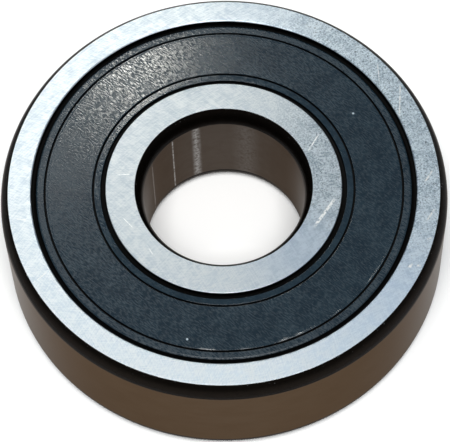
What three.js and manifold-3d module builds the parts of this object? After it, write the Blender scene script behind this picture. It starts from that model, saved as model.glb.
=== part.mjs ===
// Sealed deep groove ball bearing, 17 mm bore, 47 mm outside diameter, 14 mm wide.
//
// Two hardened steel rings run on one row of seven balls. A riveted ribbon cage of two pressed
// halves spaces the balls. A rubber seal on a steel insert closes each side: its bead snaps into a
// groove of the outer ring, and its lip runs in a groove of the inner ring.
//
// Millimetres, +Z along the bearing's axis, origin at the centre of the lower side face.
import * as THREE from "three";
import { mergeVertices } from "three/addons/utils/BufferGeometryUtils.js";
import Module from "manifold-3d";

const wasm = await Module();
wasm.setup();

// ---- Driving dimensions ----
const BORE_R = 17 / 2;
const OUTER_R = 47 / 2;
const HALF_WIDTH = 14 / 2;

const BALL_COUNT = 7;
const BALL_R = 8.731 / 2; // 11/32 inch
const PITCH_R = 32 / 2;
const RACE_CLEARANCE = 0.08;
const OUTER_RACE_R = 4.58; // groove radius, 0.525 of the ball's diameter
const INNER_RACE_R = 4.5; // groove radius, 0.515 of the ball's diameter

// Side faces of the rings, and their rounded corners, which are longer along the axis.
const OUTER_FACE_OUT_R = OUTER_R - 0.87;
const OUTER_FACE_IN_R = 20.22;
const OUTER_CORNER_H = 1.8;
const INNER_FACE_OUT_R = 12.39;
const INNER_FACE_IN_R = BORE_R + 0.84;
const INNER_CORNER_H = 1.95;
const EDGE_BREAK = 0.08;

// Raceway shoulders and the grooves that hold the seals.
const OUTER_SHOULDER_R = 18.6;
const INNER_SHOULDER_R = 13.2;
const SEAL_GROOVE_R = 20.85;
const SEAL_SEAT_H = 4.98;
const LIP_GROOVE_R = 12.0;

// Seal. Heights are measured from the bearing's mid-plane.
const SEAL_FACE_H = HALF_WIDTH - 0.25;
const INSERT_LOW_H = 5.35;
const INSERT_THICK = 0.4;
const INSERT_IN_R = 14.0;
const INSERT_OUT_R = 19.9;
const BOND_GAP = 0.03; // modelling gap between parts that touch
const MOULD_LINE_IN_R = 13.7;
const MOULD_LINE_OUT_R = 18.78;
const MOULD_LINE_HALF = 0.09;
const MOULD_LINE_DEPTH = 0.16;

// Ribbon cage.
const CAGE_THICK = 0.6;
const POCKET_CLEARANCE = 0.2;
const CAGE_IN_R = 14.1;
const CAGE_OUT_R = 17.9;
const RIVET_R = 0.7;
const RIVET_HEAD_R = 1.25;
const RIVET_HEAD_H = 0.55;
const RIVET_HOLE_GAP = 0.05;

// Facets.
const RING_SIDES = 48;
const CAGE_SIDES = 6 * BALL_COUNT;
const POCKET_SIDES = 16;
const POCKET_RINGS = 10;
const RIVET_SIDES = 10;
const BALL_DETAIL = 3;

// ---- Materials ----
const steel = (color, roughness, metalness = 1) =>
  new THREE.MeshStandardMaterial({ color, roughness, metalness });
const groundSteel = steel(0xc9ced2, 0.32);
const ballSteel = steel(0xdcdfe2, 0.08);
const pressedSteel = steel(0xa7a9a8, 0.38);
const insertSteel = steel(0x8f9496, 0.45);
const nitrileRubber = steel(0x2b343b, 0.62, 0);

// ---- Helpers ----
const at = (r, h) => new THREE.Vector2(r, h);

// Points of an arc about (r, h), from one angle to another in degrees, both ends included.
function arc(r, h, radius, fromDeg, toDeg, steps) {
  return Array.from({ length: steps + 1 }, (_, i) => {
    const angle = THREE.MathUtils.degToRad(fromDeg + ((toDeg - fromDeg) * i) / steps);
    return at(r + radius * Math.cos(angle), h + radius * Math.sin(angle));
  });
}

// A profile of radius and height turned once round the Z axis. It closes on itself.
function turned(profile, sides = RING_SIDES) {
  const geometry = new THREE.LatheGeometry([...profile, profile[0]], sides);
  return geometry.rotateX(Math.PI / 2);
}

// A ring's whole section from its upper half. A point on the mid-plane isn't doubled.
function bothHalves(upper) {
  const above = upper.filter((p) => p.y > 1e-6);
  return [...upper, ...mirrored(above)];
}

// The same section on the other side of the mid-plane.
function mirrored(profile) {
  return profile.map((p) => at(p.x, -p.y)).reverse();
}

// A rounded ring corner: an arc tangent to the ring's cylinder, which meets the side face at an
// angle. The centre lies on the solid's side of the cylinder, +1 for a bore and -1 for the outside.
function ringCorner(cylinderR, faceR, cornerH, side, steps = 4) {
  const across = Math.abs(cylinderR - faceR);
  const radius = (across ** 2 + cornerH ** 2) / (2 * across);
  const sweep = THREE.MathUtils.radToDeg(Math.asin(cornerH / radius));
  const centre = at(cylinderR + side * radius, HALF_WIDTH - cornerH);
  const start = side < 0 ? 0 : 180;
  return arc(centre.x, centre.y, radius, start, start - side * sweep, steps);
}

function toSolid(geometry) {
  const bare = geometry.clone().deleteAttribute("normal").deleteAttribute("uv");
  const merged = mergeVertices(bare, 1e-4);
  return new wasm.Manifold(
    new wasm.Mesh({
      numProp: 3,
      vertProperties: merged.attributes.position.array,
      triVerts: new Uint32Array(merged.index.array),
    }),
  );
}

function toGeometry(solid) {
  const mesh = solid.getMesh();
  return new THREE.BufferGeometry()
    .setAttribute("position", new THREE.BufferAttribute(mesh.vertProperties, 3))
    .setIndex(new THREE.BufferAttribute(mesh.triVerts, 1));
}

function named(name, geometry, material) {
  const mesh = new THREE.Mesh(geometry, material);
  mesh.name = name;
  return mesh;
}

const ballAngle = (index) => (2 * Math.PI * index) / BALL_COUNT;
const rivetAngle = (index) => ballAngle(index + 0.5);
const onPitchCircle = (angle) => [PITCH_R * Math.cos(angle), PITCH_R * Math.sin(angle), 0];

// ---- Rings ----
function outerRing() {
  const raceBottomR = PITCH_R + BALL_R + RACE_CLEARANCE;
  const raceCentreR = raceBottomR - OUTER_RACE_R;
  const raceEdge = THREE.MathUtils.radToDeg(
    Math.acos((OUTER_SHOULDER_R - raceCentreR) / OUTER_RACE_R),
  );
  const upper = [
    ...ringCorner(OUTER_R, OUTER_FACE_OUT_R, OUTER_CORNER_H, -1),
    at(OUTER_FACE_IN_R + EDGE_BREAK, HALF_WIDTH),
    at(OUTER_FACE_IN_R, HALF_WIDTH - EDGE_BREAK),
    at(OUTER_FACE_IN_R, 6.3),
    at(SEAL_GROOVE_R, 5.92),
    at(SEAL_GROOVE_R, 5.2),
    at(SEAL_GROOVE_R - 0.22, SEAL_SEAT_H),
    at(OUTER_SHOULDER_R, SEAL_SEAT_H),
    ...arc(raceCentreR, 0, OUTER_RACE_R, raceEdge, 0, 5),
  ];
  return named("outer_ring", turned(bothHalves(upper)), groundSteel);
}

function innerRing() {
  const raceBottomR = PITCH_R - BALL_R - RACE_CLEARANCE;
  const raceCentreR = raceBottomR + INNER_RACE_R;
  const raceEdge = THREE.MathUtils.radToDeg(
    Math.acos((raceCentreR - INNER_SHOULDER_R) / INNER_RACE_R),
  );
  const upper = [
    ...arc(raceCentreR, 0, INNER_RACE_R, 180, 180 - raceEdge, 4),
    at(INNER_SHOULDER_R, 5.0),
    at(INNER_SHOULDER_R - 0.15, 5.15),
    at(LIP_GROOVE_R, 5.55),
    at(LIP_GROOVE_R, 6.15),
    at(INNER_FACE_OUT_R, 6.45),
    at(INNER_FACE_OUT_R, HALF_WIDTH - EDGE_BREAK),
    at(INNER_FACE_OUT_R - EDGE_BREAK, HALF_WIDTH),
    ...ringCorner(BORE_R, INNER_FACE_IN_R, INNER_CORNER_H, 1).reverse(),
  ];
  return named("inner_ring", turned(bothHalves(upper)), groundSteel);
}

// ---- Balls ----
function ball(index) {
  const geometry = new THREE.IcosahedronGeometry(BALL_R, BALL_DETAIL);
  const mesh = named(`ball_${index + 1}`, geometry, ballSteel);
  mesh.position.set(...onPitchCircle(ballAngle(index)));
  return mesh;
}

// ---- Cage ----
// One pressed half: a flat ring with a round pocket over each ball, cut to the ribbon's width.
function cageHalf(name, side) {
  const pocketR = BALL_R + POCKET_CLEARANCE;
  const shellR = pocketR + CAGE_THICK;
  const ribbon = (lowH, highH) =>
    toSolid(
      turned(
        [at(CAGE_OUT_R, lowH), at(CAGE_OUT_R, highH), at(CAGE_IN_R, highH), at(CAGE_IN_R, lowH)],
        CAGE_SIDES,
      ),
    );
  const sphereAt = (radius, angle) => {
    const sphere = new THREE.SphereGeometry(radius, POCKET_SIDES, POCKET_RINGS);
    return toSolid(sphere.rotateX(Math.PI / 2).translate(...onPitchCircle(angle)));
  };
  const holeAt = (angle) => {
    const hole = new THREE.CylinderGeometry(
      RIVET_R + RIVET_HOLE_GAP,
      RIVET_R + RIVET_HOLE_GAP,
      4 * CAGE_THICK,
      RIVET_SIDES,
    );
    const placed = hole.rotateX(Math.PI / 2).rotateZ(angle);
    return toSolid(placed.translate(...onPitchCircle(angle)));
  };
  const balls = Array.from({ length: BALL_COUNT }, (_, i) => i);
  const reach = ribbon(BOND_GAP, shellR + 1);
  const domes = wasm.Manifold.union(balls.map((i) => sphereAt(shellR, ballAngle(i))));
  const pockets = wasm.Manifold.union(balls.map((i) => sphereAt(pocketR, ballAngle(i))));
  const holes = wasm.Manifold.union(balls.map((i) => holeAt(rivetAngle(i))));
  const half = ribbon(BOND_GAP, CAGE_THICK)
    .add(domes.intersect(reach))
    .subtract(pockets)
    .subtract(holes);
  const mesh = named(name, toGeometry(half), pressedSteel);
  if (side < 0) mesh.rotation.x = Math.PI;
  return mesh;
}

function rivet(index) {
  const half = [
    at(RIVET_R, CAGE_THICK + BOND_GAP),
    at(RIVET_HEAD_R, CAGE_THICK + BOND_GAP),
    at(RIVET_HEAD_R * 0.8, CAGE_THICK + RIVET_HEAD_H * 0.7),
    at(0, CAGE_THICK + RIVET_HEAD_H),
  ];
  const profile = [...mirrored(half), ...half];
  const geometry = new THREE.LatheGeometry(profile, RIVET_SIDES).rotateX(Math.PI / 2);
  const mesh = named(`cage_rivet_${index + 1}`, geometry, pressedSteel);
  mesh.position.set(...onPitchCircle(rivetAngle(index)));
  mesh.rotation.z = rivetAngle(index);
  return mesh;
}

// ---- Seals ----
// Sheet steel washer whose outer rim is bent towards the balls.
function insertProfile() {
  return [
    at(INSERT_OUT_R, SEAL_SEAT_H + 0.1),
    at(INSERT_OUT_R, INSERT_LOW_H + INSERT_THICK),
    at(INSERT_IN_R, INSERT_LOW_H + INSERT_THICK),
    at(INSERT_IN_R, INSERT_LOW_H),
    at(INSERT_OUT_R - INSERT_THICK, INSERT_LOW_H),
    at(INSERT_OUT_R - INSERT_THICK, SEAL_SEAT_H + 0.1),
  ];
}

// A fine groove in the seal's outer face, crossed from the larger radius to the smaller.
function mouldLine(radius) {
  const low = SEAL_FACE_H - MOULD_LINE_DEPTH;
  return [
    at(radius + MOULD_LINE_HALF, SEAL_FACE_H),
    at(radius, low),
    at(radius - MOULD_LINE_HALF, SEAL_FACE_H),
  ];
}

// Moulded rubber: a bead for the outer ring's groove, a thin skin over the insert, and a lip.
function rubberProfile() {
  const bondH = INSERT_LOW_H + INSERT_THICK + BOND_GAP;
  return [
    at(INSERT_OUT_R + BOND_GAP, SEAL_SEAT_H + 0.04),
    at(20.55, SEAL_SEAT_H + 0.04),
    at(20.76, 5.3),
    at(20.74, 5.83),
    at(20.1, 6.1),
    at(19.76, 6.55),
    at(19.55, SEAL_FACE_H),
    ...mouldLine(MOULD_LINE_OUT_R),
    ...mouldLine(MOULD_LINE_IN_R),
    at(12.9, SEAL_FACE_H),
    at(12.77, 6.58),
    at(12.74, 6.25),
    at(12.2, 5.98),
    at(12.1, 5.8),
    at(12.5, 5.62),
    at(13.3, 5.31),
    at(INSERT_IN_R - BOND_GAP, 5.31),
    at(INSERT_IN_R - BOND_GAP, bondH),
    at(INSERT_OUT_R + BOND_GAP, bondH),
  ];
}

function seal(label, side) {
  const faceOf = (profile) => turned(side > 0 ? profile : mirrored(profile));
  const parts = new THREE.Group();
  parts.add(
    named(`seal_insert_${label}`, faceOf(insertProfile()), insertSteel),
    named(`seal_rubber_${label}`, faceOf(rubberProfile()), nitrileRubber),
  );
  return parts;
}

// ---- Assembly ----
const atMidPlane = new THREE.Group();
atMidPlane.position.z = HALF_WIDTH;
atMidPlane.add(outerRing(), innerRing());
for (let index = 0; index < BALL_COUNT; index += 1) {
  atMidPlane.add(ball(index), rivet(index));
}
atMidPlane.add(cageHalf("cage_half_upper", 1), cageHalf("cage_half_lower", -1));
atMidPlane.add(seal("upper", 1), seal("lower", -1));

const bearing = new THREE.Group();
bearing.add(atMidPlane);

export default bearing;
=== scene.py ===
"""Looks of a sealed deep groove ball bearing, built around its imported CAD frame.

Every CAD node is replaced by a finer piece of the same section: smooth turned rings, seals and
inserts, polished balls, a pressed cage with bend radii, and domed rivets. Lengths in the tables
are millimetres. Heights are measured from the bearing's mid-plane unless a name says otherwise.
"""
import math

import bmesh
import bpy
from mathutils import Matrix, Quaternion, Vector, noise


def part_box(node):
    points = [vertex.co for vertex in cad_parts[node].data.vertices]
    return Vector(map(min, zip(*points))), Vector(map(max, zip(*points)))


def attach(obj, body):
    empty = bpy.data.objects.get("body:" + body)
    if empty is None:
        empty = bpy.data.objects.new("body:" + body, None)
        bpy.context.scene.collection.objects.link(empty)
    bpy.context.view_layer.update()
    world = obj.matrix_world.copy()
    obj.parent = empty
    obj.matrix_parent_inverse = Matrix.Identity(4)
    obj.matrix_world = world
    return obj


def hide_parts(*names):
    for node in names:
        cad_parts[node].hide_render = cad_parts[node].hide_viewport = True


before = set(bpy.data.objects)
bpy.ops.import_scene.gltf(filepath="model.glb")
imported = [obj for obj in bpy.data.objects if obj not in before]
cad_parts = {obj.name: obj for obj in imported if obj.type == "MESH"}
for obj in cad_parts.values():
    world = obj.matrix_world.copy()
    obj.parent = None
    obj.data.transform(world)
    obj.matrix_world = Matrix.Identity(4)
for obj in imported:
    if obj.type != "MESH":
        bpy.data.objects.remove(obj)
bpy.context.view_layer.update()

MM = 0.001

# ---- Driving dimensions ----
RING_LOW, RING_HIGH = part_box("outer_ring")
WIDTH = (RING_HIGH.z - RING_LOW.z) / MM
HALF_WIDTH = WIDTH / 2
OUTER_R = RING_HIGH.x / MM
BORE_R = 17 / 2
BALL_COUNT = sum(name.startswith("ball_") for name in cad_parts)
BALL_R = 8.731 / 2
PITCH_R = 32 / 2
RACE_CLEARANCE = 0.08
OUTER_RACE_R = 4.58
INNER_RACE_R = 4.5

OUTER_FACE_OUT_R = OUTER_R - 0.87
OUTER_FACE_IN_R = 20.22
OUTER_CORNER_H = 1.8
INNER_FACE_OUT_R = 12.39
INNER_FACE_IN_R = BORE_R + 0.84
INNER_CORNER_H = 1.95
EDGE_BREAK = 0.05
FINE_EDGE = 0.03
BEVEL_WIDTH = 0.1
BEVEL_H = 0.09
BEVEL_WANDER = 0.07

OUTER_SHOULDER_R = 18.6
INNER_SHOULDER_R = 13.2
SEAL_GROOVE_R = 20.85
SEAL_SEAT_H = 4.98
LIP_GROOVE_R = 12.0

SEAL_FACE_H = HALF_WIDTH - 0.25
INSERT_LOW_H = 5.35
INSERT_THICK = 0.4
INSERT_IN_R = 14.0
INSERT_OUT_R = 19.9
BOND_GAP = 0.03
MOULD_LINE_IN_R = 13.7
MOULD_LINE_OUT_R = 18.78
MOULD_LINE_HALF = 0.12
MOULD_LINE_DEPTH = 0.35
MOULD_LINE_TAPER = 0.65  # width of a mould line at its bottom, as a share of its width at the face
PAINTED_SHADE_DEPTH = 0.07  # how far under the seal's face the painted shade begins
FLASH_WIDTH = 0.22
INNER_FLASH_H = 0.004
OUTER_FLASH_H = 0.04
FLASH_SIDE = -38  # direction in degrees of the side where the flash stands highest

CAGE_THICK = 0.6
POCKET_CLEARANCE = 0.2
CAGE_IN_R = 14.1
CAGE_OUT_R = 17.9
CAGE_BEND_R = 0.62
RIVET_R = 0.7
RIVET_HEAD_R = 1.25
RIVET_HEAD_H = 0.55
RIVET_HOLE_R = RIVET_R + 0.05
RIVET_HEAD_EDGE = 0.05

TURNED_SIDES = 288
RIVET_SIDES = 48
LONG_SPAN = 0.3
SUPPORT = 0.04
MAX_REACH = 0.45  # the most of a span that one fillet takes up
FILLET_STEPS = 4
CORNER_STEPS = 14
RACE_STEPS = 18
DOME_STEPS = 12
CAGE_ACROSS_STEPS = 12
CAGE_FLAT_STEPS = 6
CAGE_BEND_STEPS = 6
CAGE_POCKET_STEPS = 24
SMOOTH_ANGLE = math.radians(30)

CAMERA_DISTANCE = 11.242 * OUTER_R * MM
CAMERA_ELEVATION = math.radians(62.23)
CAMERA_ROLL = math.radians(-2.2)
CAMERA_AIM_Y = -0.174 * OUTER_R * MM
CAMERA_LENS_MM = 201.9
FLOOR_R = 6.0  # metres


# ---- Sections ----
# An outline is a list of (radius, height) points, or (radius, height, fillet) where a sharp
# corner is rounded. It runs round the section and closes on itself.
def arc(centre, radius, start, end, steps):
    """Points on an arc between two angles in radians, both ends included."""
    points = []
    for i in range(steps + 1):
        angle = start + (end - start) * i / steps
        points.append((centre[0] + radius * math.cos(angle), centre[1] + radius * math.sin(angle)))
    return points


def filleted(outline):
    """The closed outline with each stated fillet made."""
    points = []
    for i, corner in enumerate(outline):
        here = Vector(corner[:2])
        if len(corner) < 3:
            points.append(tuple(here))
            continue
        before = Vector(outline[i - 1][:2]) - here
        after = Vector(outline[(i + 1) % len(outline)][:2]) - here
        half = before.angle(after) / 2
        most = (MAX_REACH * before.length, MAX_REACH * after.length)
        reach = min(corner[2] / math.tan(half), *most)
        first = here + before.normalized() * reach
        last = here + after.normalized() * reach
        for k in range(FILLET_STEPS + 1):
            t = k / FILLET_STEPS
            bend = first * (1 - t) ** 2 + here * 2 * t * (1 - t) + last * t ** 2
            points.append(tuple(bend))
    return with_flat_spans(points)


def with_flat_spans(points):
    """The closed outline with a point near each end of its long spans, so that those spans are
    shaded flat and only the fillets between them are shaded round."""
    result = []
    for i, here in enumerate(points):
        ahead = points[(i + 1) % len(points)]
        result.append(here)
        span = math.dist(here, ahead)
        if span < LONG_SPAN:
            continue
        for t in (SUPPORT / span, 1 - SUPPORT / span):
            result.append(tuple(Vector(here).lerp(Vector(ahead), t)))
    return result


def mirrored(outline):
    """The outline on the other side of the mid-plane, in the opposite order."""
    return [(p[0], -p[1], *p[2:]) for p in reversed(outline)]


def both_halves(upper):
    """A ring's whole outline from its upper half. A point on the mid-plane isn't doubled."""
    return upper + mirrored([p for p in upper if p[1] > 1e-6])


def ring_corner(cylinder_r, face_r, corner_h, side):
    """An arc tangent to the ring's cylinder, which meets the side face at an angle.
    side is 1 for a bore, whose metal lies outside the cylinder, and -1 for the outside."""
    across = abs(cylinder_r - face_r)
    radius = (across ** 2 + corner_h ** 2) / (2 * across)
    sweep = math.asin(corner_h / radius)
    centre = (cylinder_r + side * radius, HALF_WIDTH - corner_h)
    start = 0 if side < 0 else math.pi
    return arc(centre, radius, start, start - side * sweep, CORNER_STEPS)


def outer_ring_outline():
    race_centre_r = PITCH_R + BALL_R + RACE_CLEARANCE - OUTER_RACE_R
    race_edge = math.acos((OUTER_SHOULDER_R - race_centre_r) / OUTER_RACE_R)
    corner = ring_corner(OUTER_R, OUTER_FACE_OUT_R, OUTER_CORNER_H, -1)
    upper = corner[:-1] + [
        (OUTER_FACE_OUT_R, HALF_WIDTH, FINE_EDGE),
        (OUTER_FACE_IN_R + BEVEL_WIDTH, HALF_WIDTH, FINE_EDGE),
        (OUTER_FACE_IN_R, HALF_WIDTH - BEVEL_H, FINE_EDGE),
        (OUTER_FACE_IN_R, 6.3, 0.05),
        (SEAL_GROOVE_R, 5.92, 0.1),
        (SEAL_GROOVE_R, 5.2, 0.1),
        (SEAL_GROOVE_R - 0.22, SEAL_SEAT_H, 0.06),
        (OUTER_SHOULDER_R, SEAL_SEAT_H, 0.1),
    ]
    return both_halves(upper + arc((race_centre_r, 0), OUTER_RACE_R, race_edge, 0, RACE_STEPS))


def inner_ring_outline():
    race_centre_r = PITCH_R - BALL_R - RACE_CLEARANCE + INNER_RACE_R
    race_edge = math.acos((race_centre_r - INNER_SHOULDER_R) / INNER_RACE_R)
    corner = ring_corner(BORE_R, INNER_FACE_IN_R, INNER_CORNER_H, 1)
    race = arc((race_centre_r, 0), INNER_RACE_R, math.pi, math.pi - race_edge, RACE_STEPS)
    upper = race + [
        (INNER_SHOULDER_R, 5.0, 0.05),
        (INNER_SHOULDER_R - 0.15, 5.15, 0.05),
        (LIP_GROOVE_R, 5.55, 0.1),
        (LIP_GROOVE_R, 6.15, 0.1),
        (INNER_FACE_OUT_R, 6.45, 0.05),
        (INNER_FACE_OUT_R, HALF_WIDTH - EDGE_BREAK, FINE_EDGE),
        (INNER_FACE_OUT_R - EDGE_BREAK, HALF_WIDTH, FINE_EDGE),
        (INNER_FACE_IN_R, HALF_WIDTH, FINE_EDGE),
    ]
    return both_halves(upper + corner[-2::-1])


def insert_outline():
    """Sheet steel washer whose outer rim is bent towards the balls."""
    rim_h = SEAL_SEAT_H + 0.1
    top_h = INSERT_LOW_H + INSERT_THICK
    return [
        (INSERT_OUT_R, rim_h, 0.04),
        (INSERT_OUT_R, top_h, 0.25),
        (INSERT_IN_R, top_h, 0.05),
        (INSERT_IN_R, INSERT_LOW_H, 0.05),
        (INSERT_OUT_R - INSERT_THICK, INSERT_LOW_H, 0.08),
        (INSERT_OUT_R - INSERT_THICK, rim_h, 0.04),
    ]


def mould_line(radius, panel_side, flash_h):
    """A fine groove in the seal's outer face, crossed from the larger radius to the smaller. A
    ridge of flash, flash_h high, runs along it on the side of the panel between the two mould
    lines. panel_side is 1 if the panel lies at larger radii than the groove, and -1 if not."""
    low = SEAL_FACE_H - MOULD_LINE_DEPTH
    low_half = MOULD_LINE_TAPER * MOULD_LINE_HALF
    ridge_r = radius + panel_side * (MOULD_LINE_HALF + FLASH_WIDTH / 3)
    ridge_end = radius + panel_side * (MOULD_LINE_HALF + FLASH_WIDTH)
    ridge = [(ridge_r, SEAL_FACE_H + flash_h, 0.05), (ridge_end, SEAL_FACE_H, 0.05)]
    groove = [
        (radius + MOULD_LINE_HALF, SEAL_FACE_H, 0.02),
        (radius + low_half, low, 0.02),
        (radius - low_half, low, 0.02),
        (radius - MOULD_LINE_HALF, SEAL_FACE_H, 0.02),
    ]
    if panel_side > 0:
        return ridge[::-1] + groove
    return groove + ridge


def rubber_outline():
    """Moulded rubber: a bead for the outer ring's groove, a skin over the insert, and a lip."""
    bond_h = INSERT_LOW_H + INSERT_THICK + BOND_GAP
    return [
        (INSERT_OUT_R + BOND_GAP, SEAL_SEAT_H + 0.04, 0.05),
        (20.55, SEAL_SEAT_H + 0.04, 0.1),
        (20.76, 5.3, 0.15),
        (20.74, 5.83, 0.1),
        (20.0, 5.92, 0.1),
        (19.78, 6.1, 0.08),
        (19.68, SEAL_FACE_H - 0.1, 0.04),
        (19.53, SEAL_FACE_H, 0.04),
        *mould_line(MOULD_LINE_OUT_R, -1, OUTER_FLASH_H),
        *mould_line(MOULD_LINE_IN_R, 1, INNER_FLASH_H),
        (12.93, SEAL_FACE_H, 0.03),
        (12.96, 6.15, 0.1),
        (12.2, 5.9, 0.05),
        (12.1, 5.8, 0.08),
        (12.5, 5.62, 0.08),
        (13.3, 5.31, 0.1),
        (INSERT_IN_R - BOND_GAP, 5.31, 0.05),
        (INSERT_IN_R - BOND_GAP, bond_h, 0.05),
        (INSERT_OUT_R + BOND_GAP, bond_h, 0.1),
    ]


def rivet_outline():
    """Shank with a domed head at each end. It starts and ends on the axis."""
    seat_h = CAGE_THICK + BOND_GAP
    head = [(RIVET_R, seat_h), (RIVET_HEAD_R - 0.04, seat_h)]
    for i in range(DOME_STEPS):
        angle = math.pi / 2 * i / DOME_STEPS
        height = seat_h + RIVET_HEAD_EDGE + RIVET_HEAD_H * math.sin(angle)
        head.append((RIVET_HEAD_R * math.cos(angle), height))
    head.append((0, seat_h + RIVET_HEAD_EDGE + RIVET_HEAD_H))
    return mirrored(head) + head


# ---- Meshes ----
def new_piece(name, verts, faces):
    mesh = bpy.data.meshes.new(name)
    mesh.from_pydata(verts, [], faces)
    piece = bpy.data.objects.new(name, mesh)
    bpy.context.scene.collection.objects.link(piece)
    outward(mesh)
    return piece


def outward(mesh):
    """Faces point out, flat parts stay flat, and edges under 30 degrees are shaded smooth."""
    work = bmesh.new()
    work.from_mesh(mesh)
    bmesh.ops.recalc_face_normals(work, faces=work.faces)
    work.to_mesh(mesh)
    work.free()
    mesh.shade_smooth()
    mesh.set_sharp_from_angle(angle=SMOOTH_ANGLE)


def turned(name, outline, centre=(0, 0), sides=TURNED_SIDES):
    """The outline turned once round a vertical axis through centre, in the row frame."""
    open_ends = outline[0][0] == 0
    verts = []
    rings = []
    for radius, height in outline:
        z = (height + HALF_WIDTH) * MM
        if radius == 0:
            rings.append([len(verts)] * sides)
            verts.append((centre[0] * MM, centre[1] * MM, z))
            continue
        rings.append(list(range(len(verts), len(verts) + sides)))
        for i in range(sides):
            angle = 2 * math.pi * i / sides
            x = (centre[0] + radius * math.cos(angle)) * MM
            y = (centre[1] + radius * math.sin(angle)) * MM
            verts.append((x, y, z))
    faces = []
    for k in range(len(rings) - open_ends):
        low, high = rings[k], rings[(k + 1) % len(rings)]
        for i in range(sides):
            j = (i + 1) % sides
            loop = dict.fromkeys((low[i], low[j], high[j], high[i]))
            faces.append(tuple(loop))
    return new_piece(name, verts, faces)


def uneven(place, size, seed):
    """Smooth noise from 0 to 1 whose features are size millimetres across."""
    spot = Vector((place.x, place.y, 0)) / (MM * size) + Vector((0, 0, seed))
    return min(max(0.5 + noise.noise(spot), 0), 1)


def with_uneven_flash(piece):
    """The seal rubber with its ridges of flash broken into higher and lower stretches, and fading
    away from the side where the mould closed badly."""
    for vert in piece.data.vertices:
        height = abs(vert.co.z / MM - HALF_WIDTH)
        if height > SEAL_FACE_H + 0.001:
            side = math.copysign(MM, vert.co.z / MM - HALF_WIDTH)
            turn = math.atan2(vert.co.y, vert.co.x) - math.radians(FLASH_SIDE)
            near = max(math.cos(turn), 0.1)
            keep = near * uneven(vert.co, 2.5, 3.7) * (0.5 + uneven(vert.co, 0.5, 8.1))
            vert.co.z -= side * (height - SEAL_FACE_H) * (1 - keep)
    return piece


def with_uneven_edge(piece):
    """The outer ring with the broken edge inside its faces worn to an uneven width."""
    for vert in piece.data.vertices:
        height = abs(vert.co.z / MM - HALF_WIDTH)
        radius = vert.co.xy.length / MM
        past_edge = radius - OUTER_FACE_IN_R
        near_edge = BEVEL_WIDTH / 2 < past_edge < BEVEL_WIDTH + FINE_EDGE + 1.5 * SUPPORT
        if near_edge and height > HALF_WIDTH - BEVEL_H:
            shift = BEVEL_WANDER * (uneven(vert.co, 0.45, 5.3) - 0.5)
            vert.co.xy *= (radius + shift) / radius
    return piece


def ball_angle(index):
    return 2 * math.pi * index / BALL_COUNT


def on_pitch_circle(angle):
    return (PITCH_R * math.cos(angle), PITCH_R * math.sin(angle))


def polished_ball(name, index):
    x, y = on_pitch_circle(ball_angle(index))
    mesh = bpy.data.meshes.new(name)
    work = bmesh.new()
    bmesh.ops.create_icosphere(work, subdivisions=5, radius=BALL_R * MM)
    bmesh.ops.translate(work, verts=work.verts, vec=Vector((x, y, HALF_WIDTH)) * MM)
    work.to_mesh(mesh)
    work.free()
    mesh.shade_smooth()
    piece = bpy.data.objects.new(name, mesh)
    bpy.context.scene.collection.objects.link(piece)
    return piece


def ribbon_height(radius, angle, sphere_r):
    """Height of a sphere round a ball's centre, at an angle from that ball about the axis."""
    reach = sphere_r ** 2 - radius ** 2 - PITCH_R ** 2 + 2 * radius * PITCH_R * math.cos(angle)
    return math.sqrt(max(reach, 0))


def pocket_path(radius, dome_r, flat_h):
    """One pitch of the ribbon's middle surface on the cylinder of this radius, as (angle, height)
    pairs from midway between two balls to the next such place, in a fixed number of points."""
    bend_r = CAGE_BEND_R
    # The bend's centre stands bend_r above the flat and bend_r outside the dome's section.
    centre_h = flat_h + bend_r
    outside = math.sqrt((dome_r + bend_r) ** 2 - centre_h ** 2)
    cos_centre = (radius ** 2 + PITCH_R ** 2 - outside ** 2) / (2 * radius * PITCH_R)
    centre_angle = math.acos(cos_centre)
    # Where the bend touches the dome.
    touch = dome_r / (dome_r + bend_r)
    touch_h = centre_h * touch
    cos_touch = (radius ** 2 + PITCH_R ** 2 + touch_h ** 2 - dome_r ** 2) / (2 * radius * PITCH_R)
    touch_angle = math.acos(cos_touch)
    half = []
    mid_angle = math.pi / BALL_COUNT
    for i in range(CAGE_FLAT_STEPS):
        t = i / CAGE_FLAT_STEPS
        half.append((mid_angle + (centre_angle - mid_angle) * t, flat_h))
    sweep = math.pi / 2 - math.asin((centre_h - touch_h) / bend_r)
    for i in range(CAGE_BEND_STEPS):
        turn = sweep * i / CAGE_BEND_STEPS
        across = math.sin(turn) * (centre_angle - touch_angle) / math.sin(sweep)
        half.append((centre_angle - across, centre_h - bend_r * math.cos(turn)))
    for i in range(CAGE_POCKET_STEPS + 1):
        angle = touch_angle * math.cos(math.pi / 2 * i / CAGE_POCKET_STEPS)
        half.append((angle, ribbon_height(radius, angle, dome_r)))
    other = [(-a, h) for a, h in reversed(half[:-1])]
    return half + other[:-1]


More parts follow.
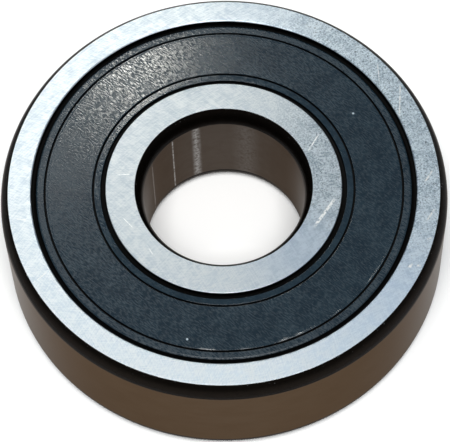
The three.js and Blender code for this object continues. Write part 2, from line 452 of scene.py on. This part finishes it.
def pressed_cage_half(name, side):
    """A ribbon of even thickness, pressed into a round pocket over each ball, with rivet holes."""
    dome_r = BALL_R + POCKET_CLEARANCE + CAGE_THICK / 2
    flat_h = BOND_GAP + CAGE_THICK / 2
    across = CAGE_ACROSS_STEPS
    radii = [CAGE_IN_R + (CAGE_OUT_R - CAGE_IN_R) * j / across for j in range(across + 1)]
    columns = []
    for radius in radii:
        column = []
        for index in range(BALL_COUNT):
            for angle, height in pocket_path(radius, dome_r, flat_h):
                turn = ball_angle(index) - angle
                column.append(Vector((radius * math.cos(turn), radius * math.sin(turn), height)))
        columns.append(column)
    count = len(columns[0])
    verts = []
    for side_of_sheet in (1, -1):
        for j, column in enumerate(columns):
            left, right = columns[max(j - 1, 0)], columns[min(j + 1, across)]
            for i, point in enumerate(column):
                along = column[(i + 1) % count] - column[i - 1]
                normal = (right[i] - left[i]).cross(along).normalized()
                spot = point + normal * side_of_sheet * CAGE_THICK / 2
                verts.append((spot.x * MM, spot.y * MM, (side * spot.z + HALF_WIDTH) * MM))
    layer = count * (across + 1)
    faces = []
    for i in range(count):
        n = (i + 1) % count
        for j in range(across):
            a, b = j * count, (j + 1) * count
            faces.append((a + i, a + n, b + n, b + i))
            faces.append((layer + a + i, layer + b + i, layer + b + n, layer + a + n))
        last = across * count
        faces.append((i, layer + i, layer + n, n))
        faces.append((last + i, last + n, layer + last + n, layer + last + i))
    piece = new_piece(name, verts, faces)
    return with_rivet_holes(piece)


def with_rivet_holes(piece):
    """The piece cut through at each rivet."""
    work = bmesh.new()
    for index in range(BALL_COUNT):
        x, y = on_pitch_circle(ball_angle(index + 0.5))
        place = Matrix.Translation(Vector((x, y, HALF_WIDTH)) * MM)
        bmesh.ops.create_cone(
            work,
            cap_ends=True,
            segments=RIVET_SIDES,
            radius1=RIVET_HOLE_R * MM,
            radius2=RIVET_HOLE_R * MM,
            depth=4 * CAGE_THICK * MM,
            matrix=place,
        )
    mesh = bpy.data.meshes.new("rivet_hole_cutter")
    work.to_mesh(mesh)
    work.free()
    cutter = bpy.data.objects.new("rivet_hole_cutter", mesh)
    bpy.context.scene.collection.objects.link(cutter)
    cut = piece.modifiers.new("rivet_holes", "BOOLEAN")
    cut.operation = "DIFFERENCE"
    cut.solver = "EXACT"
    cut.object = cutter
    bpy.context.view_layer.update()
    graph = bpy.context.evaluated_depsgraph_get()
    drilled = bpy.data.meshes.new_from_object(piece.evaluated_get(graph))
    piece.modifiers.clear()
    piece.data = drilled
    bpy.data.objects.remove(cutter)
    drilled.set_sharp_from_angle(angle=SMOOTH_ANGLE)
    return piece


# ---- Shader nodes ----
class Shader:
    """A Principled material and short calls that add nodes to it. Lengths are millimetres."""

    def __init__(self, name, **sockets):
        self.material = bpy.data.materials.new(name)
        self.material.use_nodes = True
        self.tree = self.material.node_tree
        self.principled = self.tree.nodes["Principled BSDF"]
        for socket, value in sockets.items():
            label = socket.replace("_", " ").title().replace("Ior", "IOR")
            self.principled.inputs[label].default_value = value
        place = self.add("ShaderNodeTexCoord").outputs["Object"]
        self.place = self.vector("MULTIPLY", place, (1 / MM, 1 / MM, 1 / MM))

    def add(self, kind, inputs=(), **attributes):
        node = self.tree.nodes.new(kind)
        for key, value in attributes.items():
            setattr(node, key, value)
        for key, value in dict(inputs).items():
            self.put(node.inputs[key], value)
        return node

    def put(self, socket, value):
        if isinstance(value, bpy.types.NodeSocket):
            self.tree.links.new(value, socket)
        else:
            socket.default_value = value

    def set(self, socket, value):
        self.put(self.principled.inputs[socket], value)

    def math(self, operation, a, b=0.0):
        return self.add("ShaderNodeMath", {0: a, 1: b}, operation=operation).outputs[0]

    def vector(self, operation, a, b=(0, 0, 0)):
        node = self.add("ShaderNodeVectorMath", {0: a, 1: b}, operation=operation)
        return node.outputs["Value" if operation in ("LENGTH", "DOT_PRODUCT") else "Vector"]

    def step(self, value, low, high, out_low=0.0, out_high=1.0):
        """Turns smoothly from out_low to out_high as value goes from low to high."""
        inputs = {"Value": value, "From Min": low, "From Max": high}
        inputs.update({"To Min": out_low, "To Max": out_high})
        node = self.add("ShaderNodeMapRange", inputs, interpolation_type="SMOOTHSTEP")
        return node.outputs["Result"]

    def noise(self, size, detail=2.0, roughness=0.5, place=None):
        """Noise whose features are about size millimetres across, from 0 to 1."""
        inputs = {"Vector": place or self.place, "Scale": 1 / size}
        inputs.update({"Detail": detail, "Roughness": roughness})
        return self.add("ShaderNodeTexNoise", inputs).outputs["Fac"]

    def mix(self, factor, a, b):
        """Colour a where factor is 0 and b where it is 1."""
        node = self.add("ShaderNodeMix", data_type="RGBA")
        self.put(node.inputs["Factor"], factor)
        for key, value in ((6, a), (7, b)):
            if isinstance(value, tuple):
                value = (*value, 1.0)
            self.put(node.inputs[key], value)
        return node.outputs[2]

    def mix_value(self, factor, a, b):
        node = self.add("ShaderNodeMix", {"Factor": factor, 2: a, 3: b}, data_type="FLOAT")
        return node.outputs[0]

    def stretched(self, turn, stretch):
        """Place turned about the axis by an angle in degrees and stretched along X."""
        inputs = {"Vector": self.place, "Rotation": (0, 0, math.radians(turn))}
        inputs["Scale"] = (stretch, 1, 1)
        return self.add("ShaderNodeMapping", inputs, vector_type="TEXTURE").outputs[0]

    def bump(self, height, depth):
        """A bump whose height of 1 stands depth millimetres proud."""
        inputs = {"Height": height, "Strength": 1.0, "Distance": depth * MM}
        return self.add("ShaderNodeBump", inputs).outputs["Normal"]

    def radius(self):
        return self.vector("LENGTH", self.vector("MULTIPLY", self.place, (1, 1, 0)))

    def height(self):
        """Distance from the mid-plane."""
        z = self.add("ShaderNodeSeparateXYZ", {0: self.place}).outputs["Z"]
        return self.math("ABSOLUTE", self.math("SUBTRACT", z, HALF_WIDTH))


# Long scratches on the lapped faces: the angle and radius of the middle, the direction it runs
# in, all in degrees and millimetres, then its length and width.
SCRATCHES = (
    (26.4, 21.3, 85, 4.6, 0.11),
    (37.3, 21.4, 92, 2.6, 0.07),
    (0.7, 21.5, 56, 1.8, 0.12),
    (348.6, 21.8, 56, 1.8, 0.12),
    (341.5, 22.2, 20, 0.6, 0.12),
    (333, 22.2, 0, 0.5, 0.14),
    (332, 21.4, 60, 0.7, 0.20),
    (188, 21.4, 172, 1.2, 0.10),
    (207, 21.6, 40, 2.0, 0.06),
    (26.5, 10.8, 58, 2.7, 0.10),
    (341.3, 11.0, 54, 4.6, 0.22),
    (170, 10.6, 2, 1.6, 0.06),
    (201, 10.8, 130, 1.8, 0.06),
    (222, 10.6, 118, 1.5, 0.05),
)
# Directions in degrees of the sides where the rings' faces show the most scuffing and pitting.
# Toward the sides of most wear the faces are also darkened as painted shade.
OUTER_WORN_AND_SHADED_SIDE = 8
INNER_WORN_AND_SHADED_SIDE = -12
PITTED_SIDE = 24


def scratches(s):
    """1 along each long scratch and 0 elsewhere."""
    total = 0.0
    for angle, radius, direction, length, width in SCRATCHES:
        turn = math.radians(angle)
        middle = (radius * math.cos(turn), radius * math.sin(turn), 0)
        inputs = {"Vector": s.place, "Location": middle}
        inputs["Rotation"] = (0, 0, math.radians(direction))
        local = s.add("ShaderNodeMapping", inputs, vector_type="TEXTURE").outputs[0]
        axes = s.add("ShaderNodeSeparateXYZ", {0: local})
        along = s.math("ABSOLUTE", axes.outputs["X"])
        across = s.math("ABSOLUTE", axes.outputs["Y"])
        line = s.math(
            "MULTIPLY",
            s.step(along, 0.3 * length, 0.5 * length, 1.0, 0.0),
            s.step(across, 0.4 * width, width, 1.0, 0.0),
        )
        total = s.math("MAXIMUM", line, total)
    return total


def lapping(s, centre, size, length):
    """Fine curved marks, as a lapping plate leaves, round a centre that lies off the face."""
    offset = s.vector("SUBTRACT", s.place, (*centre, 0))
    flat = s.vector("MULTIPLY", offset, (1, 1, 0))
    axes = s.add("ShaderNodeSeparateXYZ", {0: flat})
    turn = s.math("ARCTAN2", axes.outputs["Y"], axes.outputs["X"])
    reach = math.hypot(*centre)
    along = s.math("MULTIPLY", turn, reach * size / length)
    spot = s.add("ShaderNodeCombineXYZ", {0: s.vector("LENGTH", flat), 1: along})
    return s.noise(size, 3, 0.65, spot.outputs[0])


def around_axis(s):
    """The direction from the axis, in radians, from -pi to pi."""
    axes = s.add("ShaderNodeSeparateXYZ", {0: s.place})
    return s.math("ARCTAN2", axes.outputs["Y"], axes.outputs["X"])


def facing(s, direction):
    """Cosine of the angle about the axis between the place and a direction in degrees."""
    turn = math.radians(direction)
    along = s.vector("DOT_PRODUCT", s.place, (math.cos(turn), math.sin(turn), 0))
    return s.math("DIVIDE", along, s.radius())


def lapped_steel(name):
    """Side faces of the rings: curved lapping marks, clouds of scuffing, and long scratches, with
    one side of each face darkened as painted shade. The inner ring's faces are a little duller
    than the outer ring's."""
    s = Shader(name, metallic=1.0)
    on_inner = s.math("LESS_THAN", s.radius(), INNER_FACE_OUT_R + 0.1)
    # Toward the side of most wear each face takes darker tones: partly scuffing, partly painted
    # shade.
    outer_worn_and_shaded = s.step(facing(s, OUTER_WORN_AND_SHADED_SIDE), -0.1, 0.9)
    inner_worn_and_shaded = s.step(facing(s, INNER_WORN_AND_SHADED_SIDE), 0.2, 0.9)
    worn_and_shaded = s.mix_value(on_inner, outer_worn_and_shaded, inner_worn_and_shaded)
    pitted = s.step(facing(s, PITTED_SIDE), 0.45, 0.9)
    marks = s.math("ADD", lapping(s, (-38, -30), 0.13, 2.4), lapping(s, (34, -46), 0.15, 1.6))
    marks = s.math("ADD", marks, lapping(s, (-12, 55), 0.12, 1.2))
    marks = s.math("MULTIPLY", marks, 1 / 3)
    cloud = s.noise(0.9, 4, 0.62)
    grit = s.noise(0.2, 3, 0.75)
    tone = s.mix_value(s.mix_value(worn_and_shaded, 0.2, 0.45), marks, cloud)
    tone = s.mix_value(s.mix_value(pitted, 0.1, 0.5), tone, grit)
    shade = s.step(tone, 0.42, 0.57)
    clean = s.mix(shade, (0.63, 0.72, 0.79), (0.88, 0.93, 0.95))
    scuffed_and_shaded = s.mix(shade, (0.46, 0.56, 0.68), (0.68, 0.79, 0.90))
    pitted_tone = s.mix(shade, (0.28, 0.36, 0.43), (0.80, 0.89, 0.95))
    scuffed_and_shaded = s.mix(pitted, scuffed_and_shaded, pitted_tone)
    specks = s.math("MULTIPLY", s.step(s.noise(0.26, 2), 0.62, 0.68), pitted)
    scuffed_and_shaded = s.mix(specks, scuffed_and_shaded, (0.14, 0.18, 0.22))
    long_marks = s.math("MULTIPLY", scratches(s), s.step(s.noise(0.25, 2), 0.3, 0.55))
    # The darker colour on the side of most wear is partly painted shade.
    metal = s.mix(worn_and_shaded, clean, scuffed_and_shaded)
    metal = s.mix(s.math("MULTIPLY", on_inner, 0.28), metal, (0.15, 0.15, 0.15))
    s.set("Base Color", s.mix(long_marks, metal, (0.97, 0.98, 0.97)))
    s.set("Roughness", s.mix_value(shade, 0.44, 0.36))
    s.set("Normal", s.bump(marks, 0.006))
    return s.material


# Axial streaks of painted highlight in the bore, where the wall reflects light: direction and
# width in degrees and millimetres, then strength.
PAINTED_BORE_HIGHLIGHTS = ((152, 0.22, 0.6), (128.5, 0.2, 0.9), (109, 0.9, 0.6), (72, 2.6, 0.10))


def painted_bore_highlights(s):
    """How bright each axial streak of painted highlight in the bore is: broken up into fine bright
    specks.
    """
    total = 0.0
    broken = s.step(s.noise(0.3, 3, 0.6), 0.3, 0.62)
    for direction, width, strength in PAINTED_BORE_HIGHLIGHTS:
        turn = math.radians(direction)
        side = s.vector("DOT_PRODUCT", s.place, (-math.sin(turn), math.cos(turn), 0))
        line = s.step(s.math("ABSOLUTE", side), 0.0, 0.7 * width, strength, 0.0)
        line = s.math("MULTIPLY", line, s.math("GREATER_THAN", facing(s, direction), 0.5))
        total = s.math("MAXIMUM", s.math("MULTIPLY", line, broken), total)
    return total


def ring_steel(name):
    """The rest of a ring: ground cylinders, the outside one with a painted reflection of dark
    surroundings as its dark brown, a dark oxide skin from heat treatment in the corners, and
    bright raceways and shoulders inside."""
    s = Shader(name, specular_tint=(0.43, 0.40, 0.38, 1.0))
    h = s.height()
    r = s.radius()
    rough_line = s.math("MULTIPLY", s.math("SUBTRACT", s.noise(0.6, 3), 0.5), 0.1)
    # The skin stays in the corners only: the cylinders between them are ground.
    outside = s.math("GREATER_THAN", r, OUTER_FACE_OUT_R - 0.2)
    corner_h = s.mix_value(outside, HALF_WIDTH - INNER_CORNER_H, HALF_WIDTH - OUTER_CORNER_H)
    into_corner = s.math("SUBTRACT", s.math("ADD", h, rough_line), corner_h)
    on_skin = s.step(into_corner, 0.0, 0.1)
    around = s.math("MULTIPLY", around_axis(s), 3.0)
    unrolled = s.add("ShaderNodeCombineXYZ", {0: around, 2: s.math("MULTIPLY", h, 0.5)})
    grind = s.noise(0.5, 4, 0.6, unrolled.outputs[0])
    # The outer wall's dark brown is a painted reflection of dark surroundings: the ground steel
    # itself is bright.
    outer_wall = s.mix(grind, (0.098, 0.071, 0.051), (0.124, 0.093, 0.069))
    bore_wall = s.mix(grind, (0.068, 0.056, 0.048), (0.098, 0.086, 0.077))
    # Painted highlight streaks on the bore wall, standing in for reflected light.
    bore_wall = s.mix(painted_bore_highlights(s), bore_wall, (0.48, 0.48, 0.48))
    wall = s.mix(outside, bore_wall, outer_wall)
    skin = s.mix(s.noise(0.5, 4, 0.65), (0.002, 0.0015, 0.001), (0.009, 0.006, 0.004))
    nicks = s.math("MULTIPLY", s.step(s.noise(0.22, 2, 0.5), 0.70, 0.76), s.step(h, 6.5, 6.9))
    skin = s.mix(nicks, skin, (0.3, 0.3, 0.3))
    # Between the seals the rings are bright. The seal grooves are unground and keep the dark skin,
    # and their near black is also painted shade of the gaps beside the seals.
    past_seal = s.math("GREATER_THAN", r, INNER_FACE_OUT_R - 0.05)
    inside = s.math("MULTIPLY", past_seal, s.math("LESS_THAN", r, OUTER_FACE_IN_R + 1.0))
    groove_skin_and_shade = s.step(h, SEAL_SEAT_H - 0.1, SEAL_SEAT_H)
    bright = s.mix(groove_skin_and_shade, (0.55, 0.55, 0.55), (0.012, 0.012, 0.013))
    s.set("Base Color", s.mix(inside, s.mix(on_skin, wall, skin), bright))
    oxide = s.math("MULTIPLY", on_skin, s.math("SUBTRACT", 0.2, s.math("MULTIPLY", inside, 0.2)))
    s.set("Metallic", s.math("SUBTRACT", 1.0, oxide))
    s.set("Roughness", s.mix_value(on_skin, 0.28, 0.34))
    s.set("Normal", s.bump(s.noise(0.12, 2), 0.002))
    return s.material


# Pale dust specks stuck to the seal: direction in degrees and radius.
DUST = ((256, 17.8), (30.5, 16.3))


def dust(s):
    """1 on each dust speck and 0 elsewhere."""
    total = 0.0
    for direction, radius in DUST:
        turn = math.radians(direction)
        place = (radius * math.cos(turn), radius * math.sin(turn), HALF_WIDTH + SEAL_FACE_H)
        reach = s.vector("LENGTH", s.vector("SUBTRACT", s.place, place))
        total = s.math("MAXIMUM", s.step(reach, 0.07, 0.16, 1.0, 0.0), total)
    return total


def seal_rubber(name):
    """Moulded rubber, satin, with a fine grain from the mould and soft clouds of tone. The lip
    inside the inner mould line is smoother than the panel, and the rim rougher."""
    s = Shader(name, metallic=0.0, specular_ior_level=0.6)
    grain = s.noise(0.125, 1, 0.5, s.stretched(-42, 4.0))
    cloud = s.noise(1.6, 4, 0.6)
    tone = s.step(s.mix_value(0.65, grain, cloud), 0.35, 0.65)
    clean = s.mix(tone, (0.003, 0.011, 0.019), (0.009, 0.021, 0.031))
    s.set("Base Color", s.mix(dust(s), clean, (0.34, 0.40, 0.44)))
    satin = s.step(s.mix_value(0.15, grain, cloud), 0.38, 0.62, 0.12, 0.32)
    on_lip = s.math("LESS_THAN", s.radius(), MOULD_LINE_IN_R - MOULD_LINE_HALF)
    on_rim = s.math("GREATER_THAN", s.radius(), MOULD_LINE_OUT_R + MOULD_LINE_HALF)
    finish = s.mix_value(on_rim, s.mix_value(on_lip, 1.0, 0.6), 1.5)
    s.set("Roughness", s.math("MULTIPLY", satin, finish))
    s.set("Normal", s.bump(grain, 0.005))
    return s.material


def plain_steel(name, dark, light, roughness, size):
    """Sheet or wire steel with an even, slightly cloudy finish."""
    s = Shader(name, metallic=1.0)
    cloud = s.noise(size, 4, 0.6)
    s.set("Base Color", s.mix(cloud, dark, light))
    s.set("Roughness", s.mix_value(s.noise(size / 3, 3), roughness - 0.06, roughness + 0.06))
    s.set("Normal", s.bump(s.noise(size / 8, 2), 0.003))
    return s.material


# ---- Pieces ----
def fit(piece, node, body, material):
    """The piece stands for the CAD node, rides on its body and takes its finish from the slot."""
    piece.data.materials.clear()
    piece.data.materials.append(material)
    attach(piece, body)
    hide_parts(node)


def build_rings():
    steel = ring_steel("ring_steel")
    lapped = lapped_steel("lapped_steel")
    for body, outline in (("outer", outer_ring_outline()), ("inner", inner_ring_outline())):
        ring = turned(f"ground_{body}_ring", filleted(outline))
        if body == "outer":
            with_uneven_edge(ring)
        fit(ring, f"{body}_ring", body, steel)
        ring.data.materials.append(lapped)
        for face in ring.data.polygons:
            height = abs(face.center.z / MM - HALF_WIDTH)
            radius = face.center.xy.length / MM
            on_side = height > HALF_WIDTH - BEVEL_H
            face.material_index = int(on_side and INNER_FACE_IN_R < radius < OUTER_FACE_OUT_R)


def build_balls():
    steel = plain_steel("ball_steel", (0.80, 0.81, 0.82), (0.88, 0.89, 0.90), 0.1, 1.5)
    for index in range(BALL_COUNT):
        number = index + 1
        piece = polished_ball(f"polished_ball_{number}", index)
        fit(piece, f"ball_{number}", f"ball_{number}", steel)


def build_cage():
    strip = plain_steel("cage_steel", (0.42, 0.42, 0.41), (0.56, 0.56, 0.55), 0.36, 1.2)
    wire = plain_steel("rivet_steel", (0.52, 0.52, 0.51), (0.66, 0.66, 0.65), 0.3, 0.8)
    for label, side in (("upper", 1), ("lower", -1)):
        half = pressed_cage_half(f"pressed_cage_half_{label}", side)
        fit(half, f"cage_half_{label}", "cage", strip)
    for index in range(BALL_COUNT):
        centre = on_pitch_circle(ball_angle(index + 0.5))
        rivet = turned(f"domed_rivet_{index + 1}", rivet_outline(), centre, RIVET_SIDES)
        fit(rivet, f"cage_rivet_{index + 1}", "cage", wire)


def build_seals():
    rubber = seal_rubber("seal_rubber")
    # Painted shade: below the seal's face, the rubber in the gaps beside the rings and in the
    # mould lines is near black with little sheen, where shade falls.
    gap_shade = Shader("painted_gap_shade", roughness=0.6, specular_ior_level=0.08)
    gap_shade.set("Base Color", gap_shade.mix(gap_shade.noise(0.4), (0.001, 0.001, 0.001), (0.003, 0.003, 0.003)))
    sheet = plain_steel("insert_steel", (0.28, 0.29, 0.30), (0.38, 0.39, 0.40), 0.45, 0.8)
    for label, side in (("upper", 1), ("lower", -1)):
        insert_path = filleted(insert_outline())
        rubber_path = filleted(rubber_outline())
        if side < 0:
            insert_path = mirrored(insert_path)
            rubber_path = mirrored(rubber_path)
        insert = turned(f"pressed_seal_insert_{label}", insert_path)
        fit(insert, f"seal_insert_{label}", "outer", sheet)
        skin = turned(f"moulded_seal_rubber_{label}", rubber_path)
        fit(with_uneven_flash(skin), f"seal_rubber_{label}", "outer", rubber)
        skin.data.materials.append(gap_shade.material)
        # Faces that lie deeper under the seal's face take the near-black painted shade.
        for face in skin.data.polygons:
            height = abs(face.center.z / MM - HALF_WIDTH)
            face.material_index = int(height < SEAL_FACE_H - PAINTED_SHADE_DEPTH)


# ---- Stage ----
def build_floor():
    mesh = bpy.data.meshes.new("floor")
    work = bmesh.new()
    bmesh.ops.create_circle(work, cap_ends=True, segments=96, radius=FLOOR_R)
    work.to_mesh(mesh)
    work.free()
    floor = bpy.data.objects.new("floor", mesh)
    bpy.context.scene.collection.objects.link(floor)
    paint = Shader("floor_paint", roughness=0.9)
    paint.set("Base Color", (0.94, 0.94, 0.94, 1.0))
    mesh.materials.append(paint.material)


def area_light(name, place, size, power, colour):
    """A rectangular soft light aimed at the bearing. place and size are in metres."""
    data = bpy.data.lights.new(name, "AREA")
    data.shape = "RECTANGLE"
    data.size, data.size_y = size
    data.energy = power
    data.color = colour
    light = bpy.data.objects.new(name, data)
    light.location = place
    light.rotation_euler = (-Vector(place)).to_track_quat("-Z", "Y").to_euler()
    bpy.context.scene.collection.objects.link(light)


def build_lights():
    world = bpy.data.worlds.new("studio")
    world.use_nodes = True
    background = world.node_tree.nodes["Background"]
    background.inputs["Color"].default_value = (0.78, 0.89, 1.0, 1.0)
    background.inputs["Strength"].default_value = 0.28
    bpy.context.scene.world = world
    area_light("key_box", (0.0, -0.24, 0.70), (0.35, 0.35), 6.0, (1.0, 0.99, 0.97))
    area_light("near_lamp", (-0.0180, 0.1420, 0.225), (0.012, 0.012), 0.026, (1.0, 0.99, 0.92))
    area_light("left_lamp", (-0.0420, 0.0800, 0.148), (0.03, 0.03), 0.005, (0.97, 0.99, 1.0))
    area_light("low_back_strip", (-0.20, 0.37, 0.265), (0.30, 0.12), 0.36, (1.0, 0.97, 0.86))
    bpy.context.scene.view_settings.view_transform = "Standard"


def build_camera():
    """The viewing angle: how far and how high the camera stands above the top face's centre."""
    aim = Vector((0, CAMERA_AIM_Y, WIDTH * MM))
    away = Vector((0, -math.cos(CAMERA_ELEVATION), math.sin(CAMERA_ELEVATION)))
    eye = away * CAMERA_DISTANCE
    eye.z += WIDTH * MM
    data = bpy.data.cameras.new("camera")
    data.sensor_width = 36.0
    data.lens = CAMERA_LENS_MM
    data.clip_start = 0.01
    camera = bpy.data.objects.new("camera", data)
    camera.location = eye
    track = (aim - eye).to_track_quat("-Z", "Y")
    roll = Quaternion((0, 0, 1), CAMERA_ROLL)
    camera.rotation_mode = "QUATERNION"
    camera.rotation_quaternion = track @ roll
    bpy.context.scene.collection.objects.link(camera)
    bpy.context.scene.camera = camera


build_camera()
build_rings()
build_seals()
build_balls()
build_cage()
build_floor()
build_lights()
